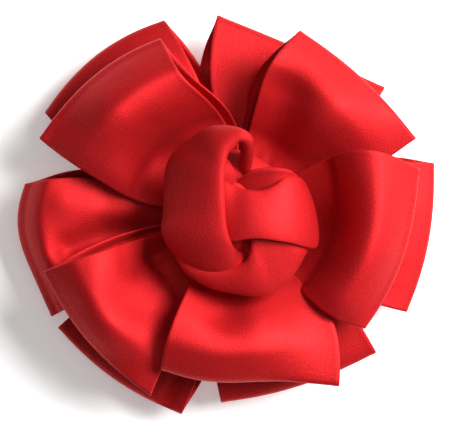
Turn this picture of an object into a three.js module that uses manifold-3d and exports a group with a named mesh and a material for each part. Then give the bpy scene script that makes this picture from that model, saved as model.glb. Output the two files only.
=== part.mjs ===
// A satin flower hair clip: two rosettes of folded ribbon loops and a tied ribbon knot, sewn through
// a felt backing that carries a sprung alligator clip. Millimetres, +Z towards the flower's face.
// The origin is under the flower's axis, on the flat outer face of the clip's lower arm.
import * as THREE from "three";
import Module from "manifold-3d";
import { mergeVertices } from "three/addons/utils/BufferGeometryUtils.js";

const wasm = await Module();
wasm.setup();

// ---- Driving dimensions ----

const SATIN_THICKNESS = 0.8; // two turned plies of satin
const ROOT_RADIUS = 7; // where a loop's gathered ends stop, around the stitching
const EDGE_CLOSING = 0.35; // how much closer a loop's plies lie at its side edges
const EDGE_CURVE = 2.5; // a loop's side edges run along their gathered rays and turn late to the corners
const STATIONS_ALONG = 28;
const STATIONS_ACROSS = 5;

// Each side of a loop's fold ends in a corner: its ray in degrees, its reach, its lift, and the ray
// that the side edge leaves the centre on. bow is how far the fold's middle stands out between them.
const BACK_LOOPS = [
  { cw: [39.5, 60.0, 0.0, 27.5], ccw: [94.0, 60.0, 1.0, 102.5], bow: 0.5 },
  { cw: [109.5, 61.8, 1.5, 104.5], ccw: [152.0, 64.5, -1.0, 165.0], bow: 4.2 },
  { cw: [172.5, 63.5, 2.0, 168.0], ccw: [209.5, 63.5, -1.0, 210.8], bow: 4.5 },
  { cw: [214.0, 63.5, -1.0, 213.0], ccw: [256.0, 63.4, 0.0, 259.5], bow: 3.0 },
  { cw: [267.0, 58.5, 0.0, 262.0], ccw: [315.5, 61.3, 0.0, 322.0], bow: 2.5 },
  { cw: [330.5, 61.4, -1.0, 324.5], ccw: [373.5, 63.2, 1.0, 385.0], bow: 2.7 },
];
const FRONT_LOOPS = [
  { cw: [22.0, 59.2, 0.0, 33.0], ccw: [69.3, 57.7, 2.5, 80.0], bow: 3.7 },
  { cw: [112.7, 56.0, 2.5, 93.0], ccw: [159.0, 61.7, -1.0, 178.0], bow: 4.0 },
  { cw: [197.8, 58.9, 2.0, 197.0], ccw: [244.3, 60.2, -1.5, 238.0], bow: 3.5 },
  { cw: [247.5, 51.3, 1.5, 240.5], ccw: [301.5, 60.9, -0.5, 310.0], bow: 1.5 },
  { cw: [318.9, 52.9, -1.0, 312.5], ccw: [372.7, 57.2, 2.0, 391.0], bow: 4.0 },
];

// A loop's side view, from its upper gathered end out over the fold and back underneath:
// [share of the way from the root to the fold, height].
const BACK_PROFILE = [
  [0, 16.8], [0.18, 17.2], [0.38, 19.6], [0.6, 21.8], [0.8, 20.0], [0.94, 15.8],
  [1, 11.0], [0.95, 8.0], [0.8, 8.2], [0.6, 10.2], [0.4, 12.8], [0.2, 13.4], [0, 13.4],
];
const FRONT_PROFILE = [
  [0, 22.6], [0.2, 23.0], [0.38, 28.0], [0.58, 35.0], [0.76, 37.0], [0.93, 32.8],
  [1, 27.5], [0.95, 24.8], [0.8, 24.4], [0.6, 24.6], [0.4, 23.0], [0.2, 20.4], [0, 19.8],
];

const KNOT_CENTRE = [2.4, 0.3]; // the knot sits a little off the flower's axis
const KNOT_PROFILE = [ // [radius, height] from the underside to the top
  [0, 25.4], [10, 25.6], [16, 27.6], [20.5, 31.0], [21.8, 35.0],
  [20.4, 40.0], [16, 43.6], [8, 45.4], [0, 45.8],
];
// Each turn of the knot covers the side of it that faces its direction, past a line at that offset.
// A turn that lies over its neighbours stands out further: [degrees, offset, growth].
const KNOT_TURNS = [
  [180, 4.5, 1.055],
  [18, -2.0, 1.035],
  [285, 7.0, 1.02],
];
const BLOCK = 40; // half the side of a block that cuts off one side of the knot
const CORE_RADIUS = 12;
const CORE_BOTTOM = 25.8;
const CORE_TOP = 37;
const CORE_GAP = 0.5;
const GAP = 0.3; // between pieces that touch

const STITCH_RADIUS = 2.2;
const GATHER_RADIUS = 4.8; // a ring of thread through each rosette's gathered ends
const GATHER_THREAD = 0.5;
const BACK_GATHER_Z = 15.1;
const FRONT_GATHER_Z = 21.5;
const FELT_RADIUS = 25;
const FELT_BOTTOM = 10.6;
const FELT_THICKNESS = 1.4;
const STRAP_THICKNESS = 1.1;
const STRAP_WIDTH = 8;
const STRAP_HALF_LENGTH = 13;
const STRAP_RISE = 7; // half the length over which the strap leaves the base
const STRAP_FALL = 5.2; // half the length that runs under the clip's upper arm

const STEEL = 0.8; // sheet that both clip arms are pressed from
const CLIP_TIP = -34; // x of the jaw tips
const CLIP_LEVER_END = 28; // x of the finger levers' ends
const HINGE_X = 9;
const HINGE_Z = 5.4;
const UPPER_ARM_TOP = 10.3;
const ARM_FLAT_FROM = -8; // the upper arm is flat from here to its lever's end
const LOWER_EAR_Y = 3.1; // inner faces of the lower arm's ears
const UPPER_EAR_Y = 4.3; // inner faces of the upper arm's ears
const EAR_RADIUS = 2.6;
const PIN_RADIUS = 0.8;
const PIN_CLEARANCE = 0.1;
const PIN_HEAD_RADIUS = 1.5;
const PIN_HEAD = 0.6;
const PIN_GAP = 0.3; // between a pin head and the ear beside it
const JAW_TIP_TOP = 3.4; // the upper arm's top at the jaw tip
const UPPER_TIP_HALF = 3.0; // half widths of the arms' tips
const LOWER_TIP_HALF = 3.2;
const TIP_CHAMFER = 2.2;
const LEVER_ROUND = 3;
const EAR_FOOT = 1.8; // how much wider an ear is where it joins its arm
const TEETH = 7;
const TOOTH_PITCH = 2.4;
const TOOTH_DEPTH = 1.2;
const BITE_GAP = 0.3; // between the tooth tips and the lower arm
const FLANGE_INNER_Y = 2.1;
const WIRE_RADIUS = 0.35;
const COIL_RADIUS = 1.75;
const COIL_PITCH = 1.0;
const SPRING_LEG = 11;
const UPPER_LEG_RISE = 9; // degrees that the leg under the upper lever rises away from the coil
const LOWER_LEG_FALL = 11.7; // degrees that the leg over the lower lever falls
const COIL_TURNS = 3.5 - (UPPER_LEG_RISE + LOWER_LEG_FALL) / 360;

// ---- Materials ----

const satin = new THREE.MeshStandardMaterial({ color: 0xd0182a, roughness: 0.42, metalness: 0 });
const knotSatin = new THREE.MeshStandardMaterial({ color: 0xd32130, roughness: 0.42, metalness: 0 });
const wadding = new THREE.MeshStandardMaterial({ color: 0xe8e2d8, roughness: 0.95, metalness: 0 });
const thread = new THREE.MeshStandardMaterial({ color: 0xa3121f, roughness: 0.8, metalness: 0 });
const felt = new THREE.MeshStandardMaterial({ color: 0x9c1722, roughness: 1, metalness: 0 });
const nickel = new THREE.MeshStandardMaterial({ color: 0xc9c9c6, roughness: 0.28, metalness: 1 });
const springSteel = new THREE.MeshStandardMaterial({ color: 0xa6a6a4, roughness: 0.35, metalness: 1 });

// ---- Solids ----

const flower = new THREE.Group();

function add(name, geometry, material) {
  const mesh = new THREE.Mesh(geometry, material);
  mesh.name = name;
  flower.add(mesh);
  return mesh;
}

// A closed geometry as a manifold-3d solid.
function toSolid(geometry) {
  const bare = geometry.clone();
  bare.deleteAttribute("normal");
  bare.deleteAttribute("uv");
  const merged = mergeVertices(bare, 1e-4);
  return new wasm.Manifold(
    new wasm.Mesh({
      numProp: 3,
      vertProperties: merged.attributes.position.array,
      triVerts: new Uint32Array(merged.index.array),
    }),
  );
}

function toGeometry(solid) {
  const mesh = solid.getMesh();
  return new THREE.BufferGeometry()
    .setAttribute("position", new THREE.BufferAttribute(new Float32Array(mesh.vertProperties), 3))
    .setIndex(new THREE.BufferAttribute(new Uint32Array(mesh.triVerts), 1));
}

// A sheet of the given thickness whose middle surface is middle(along, across), each running 0 to 1.
function sheetGeometry(middle, countAlong, countAcross, thickness) {
  const step = 1e-3;
  const points = { upper: [], lower: [] };
  for (let i = 0; i <= countAlong; i++) {
    for (let j = 0; j <= countAcross; j++) {
      const a = i / countAlong;
      const b = j / countAcross;
      const alongwise = middle(Math.min(a + step, 1), b).sub(middle(Math.max(a - step, 0), b));
      const acrosswise = middle(a, Math.min(b + step, 1)).sub(middle(a, Math.max(b - step, 0)));
      const normal = alongwise.cross(acrosswise).normalize().multiplyScalar(thickness / 2);
      points.upper.push(middle(a, b).add(normal));
      points.lower.push(middle(a, b).sub(normal));
    }
  }
  const row = countAcross + 1;
  const half = points.upper.length;
  const index = [];
  const quad = (a, b, c, d) => index.push(a, b, c, a, c, d);
  for (let i = 0; i < countAlong; i++) {
    for (let j = 0; j < countAcross; j++) {
      const a = i * row + j;
      quad(a, a + row, a + row + 1, a + 1);
      quad(half + a, half + a + 1, half + a + row + 1, half + a + row);
    }
  }
  const rim = [];
  for (let i = 0; i < countAlong; i++) rim.push([i * row, (i + 1) * row]);
  for (let j = 0; j < countAcross; j++) rim.push([countAlong * row + j, countAlong * row + j + 1]);
  for (let i = countAlong; i > 0; i--) rim.push([i * row + countAcross, (i - 1) * row + countAcross]);
  for (let j = countAcross; j > 0; j--) rim.push([j, j - 1]);
  for (const [a, b] of rim) quad(a, half + a, half + b, b);
  return new THREE.BufferGeometry()
    .setAttribute("position", new THREE.BufferAttribute(
      new Float32Array([...points.upper, ...points.lower].flatMap((p) => p.toArray())), 3))
    .setIndex(index);
}

// A plate with an outline in x and z, standing across y from yFrom to yTo.
function plateAcrossY(outline, yFrom, yTo) {
  const options = { depth: yTo - yFrom, bevelEnabled: false, curveSegments: 10 };
  const geometry = new THREE.ExtrudeGeometry(outline, options);
  geometry.rotateX(Math.PI / 2);
  geometry.translate(0, yTo, 0);
  return geometry;
}

// A plate with an outline in x and y, from zFrom to zTo.
function plateAcrossZ(outline, zFrom, zTo) {
  const options = { depth: zTo - zFrom, bevelEnabled: false, curveSegments: 10 };
  const geometry = new THREE.ExtrudeGeometry(outline, options);
  geometry.translate(0, 0, zFrom);
  return geometry;
}

function cylinderAlongY(radius, yFrom, yTo, x, z, sides = 24) {
  const geometry = new THREE.CylinderGeometry(radius, radius, yTo - yFrom, sides);
  geometry.translate(x, (yFrom + yTo) / 2, z);
  return geometry;
}

function cylinderAlongZ(radius, zFrom, zTo, sides) {
  const geometry = new THREE.CylinderGeometry(radius, radius, zTo - zFrom, sides);
  geometry.rotateX(Math.PI / 2);
  geometry.translate(0, 0, (zFrom + zTo) / 2);
  return geometry;
}

// ---- Ribbon loops ----

const radians = THREE.MathUtils.degToRad;

// How far the fold is from the axis at a share of the way from its clockwise corner to the other one.
function foldReach(loop, share) {
  const axis = new THREE.Vector2();
  const corner = ([degrees, reach]) => new THREE.Vector2(reach, 0).rotateAround(axis, radians(degrees));
  const from = corner(loop.cw);
  const to = corner(loop.ccw);
  const ray = radians(THREE.MathUtils.lerp(loop.cw[0], loop.ccw[0], share));
  const chord = to.clone().sub(from);
  const direction = new THREE.Vector2(Math.cos(ray), Math.sin(ray));
  const straight = from.cross(chord) / direction.cross(chord);
  return straight + loop.bow * 4 * share * (1 - share);
}

function loopSurface(loop, profile) {
  const lerp = THREE.MathUtils.lerp;
  const tall = 60; // heights are shared out along the curve as if over this length
  const curve = new THREE.SplineCurve(profile.map(([out, z]) => new THREE.Vector2(out, z / tall)));
  const rootHeight = (profile[0][1] + profile.at(-1)[1]) / 2;
  const foldHeight = profile[(profile.length - 1) / 2][1];
  return (along, across) => {
    const at = curve.getPointAt(along);
    const side = 2 * across - 1;
    const lift = lerp(loop.cw[2], loop.ccw[2], across) * at.x * at.x;
    const middle = lerp(rootHeight, foldHeight, at.x);
    const height = middle + (at.y * tall - middle) * (1 - EDGE_CLOSING * side * side) + lift;
    const radius = lerp(ROOT_RADIUS, foldReach(loop, across), at.x);
    const turned = Math.pow(at.x, EDGE_CURVE);
    const ray = radians(lerp(
      lerp(loop.cw[3], loop.cw[0], turned),
      lerp(loop.ccw[3], loop.ccw[0], turned),
      across,
    ));
    return new THREE.Vector3(radius * Math.cos(ray), radius * Math.sin(ray), height);
  };
}

function addLoops(name, loops, profile) {
  loops.forEach((loop, i) => add(
    `${name}_${i + 1}`,
    sheetGeometry(loopSurface(loop, profile), STATIONS_ALONG, STATIONS_ACROSS, SATIN_THICKNESS),
    satin,
  ));
}

// ---- Knot and what it is sewn through ----

function lathe(profile, sides) {
  const geometry = new THREE.LatheGeometry(profile.map(([r, z]) => new THREE.Vector2(r, z)), sides);
  geometry.rotateX(Math.PI / 2);
  return geometry;
}

function addKnot() {
  const [x, y] = KNOT_CENTRE;
  const middleZ = (KNOT_PROFILE[0][1] + KNOT_PROFILE.at(-1)[1]) / 2;
  const ball = toSolid(lathe(KNOT_PROFILE, 40));
  let knot = ball;
  for (const [degrees, offset, growth] of KNOT_TURNS) {
    const grown = ball.translate([0, 0, -middleZ]).scale([growth, growth, growth]).translate([0, 0, middleZ]);
    const halfSpace = new THREE.BoxGeometry(2 * BLOCK, 2 * BLOCK, 2 * BLOCK);
    halfSpace.translate(BLOCK + offset, 0, KNOT_PROFILE[2][1] + BLOCK);
    halfSpace.rotateZ(radians(degrees));
    knot = knot.add(grown.intersect(toSolid(halfSpace)));
  }
  const pocket = cylinderAlongZ(CORE_RADIUS + CORE_GAP, KNOT_PROFILE[0][1] - 1, CORE_TOP + CORE_GAP, 32);
  knot = knot.subtract(toSolid(pocket));
  add("knot_ribbon", toGeometry(knot.translate([x, y, 0])), knotSatin);

  const core = lathe([
    [0, CORE_BOTTOM], [CORE_RADIUS - 2, CORE_BOTTOM], [CORE_RADIUS, CORE_BOTTOM + 2],
    [CORE_RADIUS, CORE_TOP - 3], [CORE_RADIUS - 3, CORE_TOP], [0, CORE_TOP],
  ], 28);
  core.translate(x, y, 0);
  add("knot_core", core, wadding);

  const feltTop = FELT_BOTTOM + FELT_THICKNESS;
  add("centre_stitching", cylinderAlongZ(STITCH_RADIUS, feltTop + GAP, CORE_BOTTOM - GAP, 20), thread);
  const threads = [["back_gathering_thread", BACK_GATHER_Z], ["front_gathering_thread", FRONT_GATHER_Z]];
  for (const [name, z] of threads) {
    const ring = new THREE.TorusGeometry(GATHER_RADIUS, GATHER_THREAD, 8, 32);
    ring.translate(0, 0, z);
    add(name, ring, thread);
  }
}

// ---- Felt backing ----

function addFelt() {
  add("felt_base", cylinderAlongZ(FELT_RADIUS, FELT_BOTTOM, FELT_BOTTOM + FELT_THICKNESS, 64), felt);

  // A strap of felt passes under the upper arm and is sewn to the base at both ends.
  const top = FELT_BOTTOM - GAP;
  const sewn = top - STRAP_THICKNESS;
  const under = UPPER_ARM_TOP - STEEL - GAP - STRAP_THICKNESS;
  const half = [
    [0, under + STRAP_THICKNESS], [STRAP_FALL + 0.1, under + STRAP_THICKNESS], [STRAP_FALL + 0.6, top],
    [STRAP_HALF_LENGTH, top], [STRAP_HALF_LENGTH, sewn], [STRAP_RISE, sewn], [STRAP_FALL, under],
  ];
  const mirrored = half.slice(1).reverse().map(([y, z]) => [-y, z]);
  const shape = new THREE.Shape([...half, ...mirrored].map(([y, z]) => new THREE.Vector2(y, z)));
  const geometry = new THREE.ExtrudeGeometry(shape, { depth: STRAP_WIDTH, bevelEnabled: false });
  geometry.rotateX(Math.PI / 2);
  geometry.rotateZ(Math.PI / 2);
  geometry.translate(ARM_FLAT_FROM + 0.5, 0, 0);
  add("felt_strap", geometry, felt);
}

// ---- Alligator clip ----

function pinHole() {
  return toSolid(cylinderAlongY(PIN_RADIUS + PIN_CLEARANCE, -10, 10, HINGE_X, HINGE_Z));
}

// One ear: a round-ended lug from the arm's plate to the pin.
function ear(yFrom, yTo, plateZ) {
  const lug = new THREE.Shape();
  const foot = EAR_RADIUS + EAR_FOOT;
  const up = plateZ < HINGE_Z;
  const start = up ? 0 : Math.PI;
  lug.moveTo(HINGE_X + (up ? foot : -foot), plateZ);
  lug.absarc(HINGE_X, HINGE_Z, EAR_RADIUS, start, start + Math.PI, false);
  lug.lineTo(HINGE_X + (up ? -foot : foot), plateZ);
  return toSolid(plateAcrossY(lug, yFrom, yTo));
}

// An arm from above: pointed at the jaw tip, full width from the hinge, round at the lever's end.
function armOutline(tipHalf, half) {
  const shoulder = HINGE_X - 6;
  const centre = CLIP_LEVER_END - LEVER_ROUND;
  const outline = new THREE.Shape();
  outline.moveTo(CLIP_TIP + TIP_CHAMFER, -tipHalf);
  outline.lineTo(shoulder, -half);
  outline.lineTo(centre, -half);
  outline.absarc(centre, -half + LEVER_ROUND, LEVER_ROUND, -Math.PI / 2, 0, false);
  outline.absarc(centre, half - LEVER_ROUND, LEVER_ROUND, 0, Math.PI / 2, false);
  outline.lineTo(shoulder, half);
  outline.lineTo(CLIP_TIP + TIP_CHAMFER, tipHalf);
  outline.lineTo(CLIP_TIP, tipHalf - TIP_CHAMFER);
  outline.lineTo(CLIP_TIP, -tipHalf + TIP_CHAMFER);
  return outline;
}

function addLowerArm() {
  const half = LOWER_EAR_Y + STEEL;
  let arm = toSolid(plateAcrossZ(armOutline(LOWER_TIP_HALF, half), 0, STEEL));
  for (const side of [-1, 1]) {
    const inner = side * LOWER_EAR_Y;
    const outer = side * half;
    arm = arm.add(ear(Math.min(inner, outer), Math.max(inner, outer), STEEL / 2));
  }
  add("lower_arm", toGeometry(arm.subtract(pinHole())), nickel);
}

// The upper arm's side view: flat over the felt, then bowed down to the jaw tip.
function upperArmTopAt(x) {
  if (x >= ARM_FLAT_FROM) return UPPER_ARM_TOP;
  const share = (ARM_FLAT_FROM - x) / (ARM_FLAT_FROM - CLIP_TIP);
  return UPPER_ARM_TOP - (UPPER_ARM_TOP - JAW_TIP_TOP) * Math.pow(share, 1.3);
}

function addUpperArm() {
  const half = UPPER_EAR_Y + STEEL;
  const jawSteps = 12;
  const jawXs = Array.from({ length: jawSteps + 1 }, (_, i) =>
    THREE.MathUtils.lerp(ARM_FLAT_FROM, CLIP_TIP, i / jawSteps));
  const sideView = new THREE.Shape();
  sideView.moveTo(CLIP_LEVER_END, UPPER_ARM_TOP);
  jawXs.forEach((x) => sideView.lineTo(x, upperArmTopAt(x)));
  [...jawXs].reverse().forEach((x) => sideView.lineTo(x, upperArmTopAt(x) - STEEL));
  sideView.lineTo(CLIP_LEVER_END, UPPER_ARM_TOP - STEEL);
  const bent = toSolid(plateAcrossY(sideView, -half, half));
  const trim = toSolid(plateAcrossZ(armOutline(UPPER_TIP_HALF, half), -1, UPPER_ARM_TOP + 1));
  let arm = bent.intersect(trim);

  // Toothed flanges hang from both edges of the jaw and meet the lower arm.
  const toothFrom = CLIP_TIP + 0.4;
  const flange = new THREE.Shape();
  const flangeEnd = toothFrom + TEETH * TOOTH_PITCH;
  const biteZ = STEEL + BITE_GAP;
  flange.moveTo(toothFrom, upperArmTopAt(toothFrom) - STEEL / 2);
  for (let i = 0; i < TEETH; i++) {
    flange.lineTo(toothFrom + i * TOOTH_PITCH, biteZ);
    flange.lineTo(toothFrom + (i + 1) * TOOTH_PITCH, biteZ + TOOTH_DEPTH);
  }
  flange.lineTo(flangeEnd, upperArmTopAt(flangeEnd) - STEEL / 2);
  for (const side of [-1, 1]) {
    const from = side > 0 ? FLANGE_INNER_Y : -FLANGE_INNER_Y - STEEL;
    arm = arm.add(toSolid(plateAcrossY(flange, from, from + STEEL)));
    const inner = side * UPPER_EAR_Y;
    const outer = side * half;
    arm = arm.add(ear(Math.min(inner, outer), Math.max(inner, outer), UPPER_ARM_TOP - STEEL / 2));
  }
  add("upper_arm", toGeometry(arm.subtract(pinHole())), nickel);
}

function addHingePin() {
  const earFace = UPPER_EAR_Y + STEEL;
  const half = earFace + PIN_GAP;
  let pin = toSolid(cylinderAlongY(PIN_RADIUS, -half - PIN_HEAD / 2, half + PIN_HEAD / 2, HINGE_X, HINGE_Z));
  for (const side of [-1, 1]) {
    const from = side > 0 ? half : -half - PIN_HEAD;
    pin = pin.add(toSolid(cylinderAlongY(PIN_HEAD_RADIUS, from, from + PIN_HEAD, HINGE_X, HINGE_Z)));
  }
  add("hinge_pin", toGeometry(pin), nickel);
}

// A torsion spring: coils around the pin, one leg under the upper lever and one on the lower lever.
class SpringCurve extends THREE.Curve {
  getPoint(t, target = new THREE.Vector3()) {
    const coil = 2 * Math.PI * COIL_TURNS * COIL_RADIUS;
    const total = coil + 2 * SPRING_LEG;
    const at = t * total;
    const halfAngle = Math.PI * COIL_TURNS;
    const along = (turned) => (COIL_PITCH * turned) / (2 * Math.PI) - (COIL_PITCH * COIL_TURNS) / 2;
    const place = (turned, out) => {
      // Both legs leave along the coil's tangent towards the levers' ends.
      const angle = radians(90 + UPPER_LEG_RISE) + turned;
      const radial = [Math.cos(angle), Math.sin(angle)];
      const tangent = [-Math.sin(angle), Math.cos(angle)];
      return target.set(
        HINGE_X + COIL_RADIUS * radial[0] + out * tangent[0],
        along(turned),
        HINGE_Z + COIL_RADIUS * radial[1] + out * tangent[1],
      );
    };
    if (at < SPRING_LEG) return place(0, at - SPRING_LEG);
    if (at > SPRING_LEG + coil) return place(2 * halfAngle, at - SPRING_LEG - coil);
    return place((at - SPRING_LEG) / COIL_RADIUS, 0);
  }
}

function addSpring() {
  const wire = new THREE.Shape();
  wire.absarc(0, 0, WIRE_RADIUS, 0, 2 * Math.PI, false);
  const geometry = new THREE.ExtrudeGeometry(wire, {
    steps: 76,
    curveSegments: 8,
    bevelEnabled: false,
    extrudePath: new SpringCurve(),
  });
  add("torsion_spring", geometry, springSteel);
}

addLoops("back_loop", BACK_LOOPS, BACK_PROFILE);
addLoops("front_loop", FRONT_LOOPS, FRONT_PROFILE);
addKnot();
addFelt();
addLowerArm();
addUpperArm();
addHingePin();
addSpring();

export default flower;
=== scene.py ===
# The looks of the satin flower hair clip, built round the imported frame. Eleven gathered loops of ribbon
# and a tied knot are the flower. Thread, felt and wadding hold it, and a sprung clip is on its back.
import bpy
import math
import numpy as np
from collections import namedtuple
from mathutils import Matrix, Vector


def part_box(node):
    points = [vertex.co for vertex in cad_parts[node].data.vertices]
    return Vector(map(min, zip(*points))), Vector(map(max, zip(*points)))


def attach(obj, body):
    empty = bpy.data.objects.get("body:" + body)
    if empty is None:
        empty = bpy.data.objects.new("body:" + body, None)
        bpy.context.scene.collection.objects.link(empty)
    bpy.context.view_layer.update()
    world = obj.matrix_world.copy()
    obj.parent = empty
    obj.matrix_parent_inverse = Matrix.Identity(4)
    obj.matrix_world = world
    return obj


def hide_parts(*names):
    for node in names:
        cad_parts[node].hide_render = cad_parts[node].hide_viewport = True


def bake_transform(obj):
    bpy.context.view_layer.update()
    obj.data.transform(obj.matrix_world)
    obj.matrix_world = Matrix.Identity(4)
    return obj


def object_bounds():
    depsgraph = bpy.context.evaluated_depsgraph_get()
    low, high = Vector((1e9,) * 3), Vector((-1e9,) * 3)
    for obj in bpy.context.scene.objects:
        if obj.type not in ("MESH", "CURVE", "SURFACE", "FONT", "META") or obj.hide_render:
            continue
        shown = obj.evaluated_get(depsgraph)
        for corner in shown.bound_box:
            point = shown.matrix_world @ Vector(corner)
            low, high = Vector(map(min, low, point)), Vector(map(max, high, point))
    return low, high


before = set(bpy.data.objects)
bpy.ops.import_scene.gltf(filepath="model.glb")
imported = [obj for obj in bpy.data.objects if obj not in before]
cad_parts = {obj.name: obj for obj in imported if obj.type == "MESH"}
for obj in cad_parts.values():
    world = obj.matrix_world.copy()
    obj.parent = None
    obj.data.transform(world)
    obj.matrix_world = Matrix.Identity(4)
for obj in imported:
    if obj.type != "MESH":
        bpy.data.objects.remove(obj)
CAD_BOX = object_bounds()
MM = 0.001

# ---- Ribbon and loops: sizes in mm, angles in degrees ----

RIBBON_WIDTH = 51.0
RIBBON_THICKNESS = 0.4
SELVEDGE_THICKNESS = 0.6
SELVEDGE_FADES = (0.4, 1.6)

# The gathered ends are on a ring of ROOT_RADIUS. The side edges are given at the radii NEAR and MIDWAY.
ROOT_RADIUS = 8.0
NEAR = 24.0
MIDWAY = 41.0
# The upper ply gives way to the lower one over these shares of the rows before and after the fold.
PLY_TURNS = (0.04, 0.08)
# A side's raise and closing reach this far across, and creases grow in over these shares of the way out.
SIDE_REACH = 0.5
CREASE_GROWS = (0.1, 0.42)
# The fold's rounded nose starts at this share of the way out.
NOSE_FROM = 0.965
NOSE_RADIUS = 1.9
# A profile's share of the way out is drawn this long, so that its points are evenly spaced.
PROFILE_LENGTH = 50

# The thread's gathers on top: how many, how deep, and the share of the way out where they end.
GATHER_PLEATS = 3.5
GATHER_DEPTH = 1.1
GATHER_REACH = 0.3
# The pleats underneath: they start within a share of the rows after the fold, are shallow by the felt and
# full past the radii that they grow over, and fade out between two shares of the way out.
BELLY_PLEATS_AFTER = 0.12
BELLY_PLEATS = 6.5
BELLY_PLEAT_NEAR = 1.1
BELLY_PLEAT_DEPTH = 2.7
BELLY_PLEAT_GROWS = (24.0, 36.0)
BELLY_PLEAT_FADES = (0.45, 0.95)
# Inside the first radius no ply is lower than OVER_FELT, and past the second it may be BELOW_FELT lower.
OVER_FELT = 12.5
PAST_FELT = (25.6, 31.0)
BELOW_FELT = 8

LOOP_ROWS = 113
LOOP_COLUMNS = 61

# The cloth simulation runs on a coarse grid, at SIM_SCALE metres for a millimetre.
SIM_ROWS = 57
SIM_COLUMNS = 23
SIM_SCALE = 0.02
SIM_FRAMES = 16
# The flat cloth is this much longer than the loop is, and it gets back this share of the width that was
# lost in folding.
SIM_SLACK = 1.01
SIM_FREED = 0.15
# Settling moves a point by at most SIM_CAP, and by less and less from the second of these radii inwards.
SIM_CAP = 3.0
SIM_GROWS = (20, 34)
CORNER_HOLD = 0.6

# One side of a loop: its fold corner's ray, reach and lift, then the rays that the side edge is on at the
# radii MIDWAY and NEAR, how far that side is raised midway and how much its plies close up there.
Side = namedtuple("Side", "corner reach lift midway near raised closing")

# cw and ccw are a loop's clockwise and anticlockwise sides. bow is how far the fold's middle stands out,
# and wave how far it swings to and fro.
# crest is (share of the way out where the upper ply starts to climb, where it is highest, how far that is
# over the fold).
# skew moves the lower ply sideways, anticlockwise, so that it shows beside the upper one.
# A fold is a soft crease in the loop: the points that it passes through, as (share of the way out, share
# across), then its half width and its height. A valley's height is negative, and it dents both plies.
BACK_LOOPS = [
    dict(cw=Side(39.3, 60.0, 0, 33, 30, 0, 0.2), ccw=Side(94.0, 60.0, 1, 99, 98, 0, 0.1),
         bow=0.5, wave=0, crest=(0.2, 0.7, 4.5), skew=4.0, folds=[]),
    dict(cw=Side(109.6, 61.8, 1.5, 104.5, 100, 0, 0.1), ccw=Side(151.8, 64.6, -1, 160, 165, 0, 0.2),
         bow=4.2, wave=0, crest=(0.2, 0.66, 8.0), skew=-3.0, folds=[]),
    dict(cw=Side(172.4, 63.5, 2, 167, 176, 0, 0.1), ccw=Side(209.9, 63.6, -1, 210.3, 210, 0, 0.3),
         bow=4.5, wave=1.0, crest=(0.45, 0.86, 8.5), skew=-3.5,
         folds=[((0.15, 0.52), (0.5, 0.52), (0.76, 0.58), 4.5, -5.0),
                ((0.3, 0.16), (0.75, 0.2), 5.0, 1.5)]),
    dict(cw=Side(213.8, 63.6, -1, 211, 210.8, 0, 0.3), ccw=Side(255.8, 63.4, 0, 259.5, 260, 0, 0.2),
         bow=3.0, wave=0, crest=(0.2, 0.66, 8.0), skew=3.0,
         folds=[((0.8, 0.9), (0.95, 0.88), 2.5, -2.0)]),
    dict(cw=Side(267.0, 58.0, 0, 262.5, 262, 0, 0.2), ccw=Side(315.6, 61.3, 0, 321, 321, 0, 0.3),
         bow=2.5, wave=0, crest=(0.2, 0.66, 8.0), skew=0.0, folds=[]),
    dict(cw=Side(330.4, 61.4, -1, 325, 323, 0, 0.3), ccw=Side(373.4, 63.2, 1, 380, 386, 0, 0.2),
         bow=2.7, wave=0, crest=(0.2, 0.66, 8.0), skew=3.0, folds=[]),
]
FRONT_LOOPS = [
    dict(cw=Side(22.0, 59.2, 0, 19, 30, -2.5, 0.7), ccw=Side(69.3, 57.7, 2.5, 76.5, 78, 0, 0.1),
         bow=2.2, wave=0, crest=(0.24, 0.74, 8.5), skew=3.0,
         folds=[((0.2, 0.6), (0.62, 0.78), 7.5, -4.5)]),
    dict(cw=Side(112.7, 56.0, 2.5, 109.5, 93, 0, 0.1), ccw=Side(158.9, 61.7, -1, 166.5, 175, -2.5, 0.5),
         bow=4.0, wave=0, crest=(0.32, 0.75, 11.0), skew=-3.5,
         folds=[((0.15, 0.55), (0.42, 0.6), 8.0, -5.0), ((0.5, 1.12), (0.9, 1.1), 6.0, -6.0)]),
    dict(cw=Side(197.8, 58.9, 3, 197, 196.5, 1.5, 0.1), ccw=Side(245.9, 60.2, -2.5, 245, 243, -2.5, 0.6),
         bow=3.5, wave=0, crest=(0.32, 0.8, 7.0), skew=-3.0,
         folds=[((0.46, 0.42), (0.6, 0.6), 10.0, -4.0), ((0.2, 0.26), (0.5, 0.27), 3.0, -3.0),
                ((0.62, 0.12), (0.78, 0.28), (0.84, 0.5), (0.74, 0.74), 8.0, 2.5)]),
    dict(cw=Side(245.8, 51.3, 2.5, 243, 240, 3.0, 0.2), ccw=Side(301.5, 60.9, -0.5, 314, 314, -2.5, 0.6),
         bow=1.5, wave=1.0, crest=(0.24, 0.78, 6.0), skew=0.0,
         folds=[((0.2, 0.3), (0.5, 0.35), 5.5, -3.5)]),
    dict(cw=Side(318.9, 52.9, -1, 313, 311, -0.5, 0.4), ccw=Side(372.7, 57.2, 2, 386, 390, 4.0, 0.3),
         bow=4.0, wave=0, crest=(0.42, 0.76, 10.0), skew=0.0,
         folds=[((0.3, 0.2), (0.42, 0.5), 7.0, -3.0), ((0.6, -0.12), (0.85, -0.1), 7.0, -5.5)]),
]
# The heights of a layer of loops: its upper and lower gathered ends, its folds and its bellies.
BACK_LAYER = dict(top=15.6, bottom=14.7, fold=11.5, belly=8.2)
FRONT_LAYER = dict(top=19.0, bottom=17.9, fold=27.5, belly=24.6)
LAYERS = (("back_loop", BACK_LOOPS, BACK_LAYER), ("front_loop", FRONT_LOOPS, FRONT_LAYER))

# ---- Curves and surfaces ----

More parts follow.
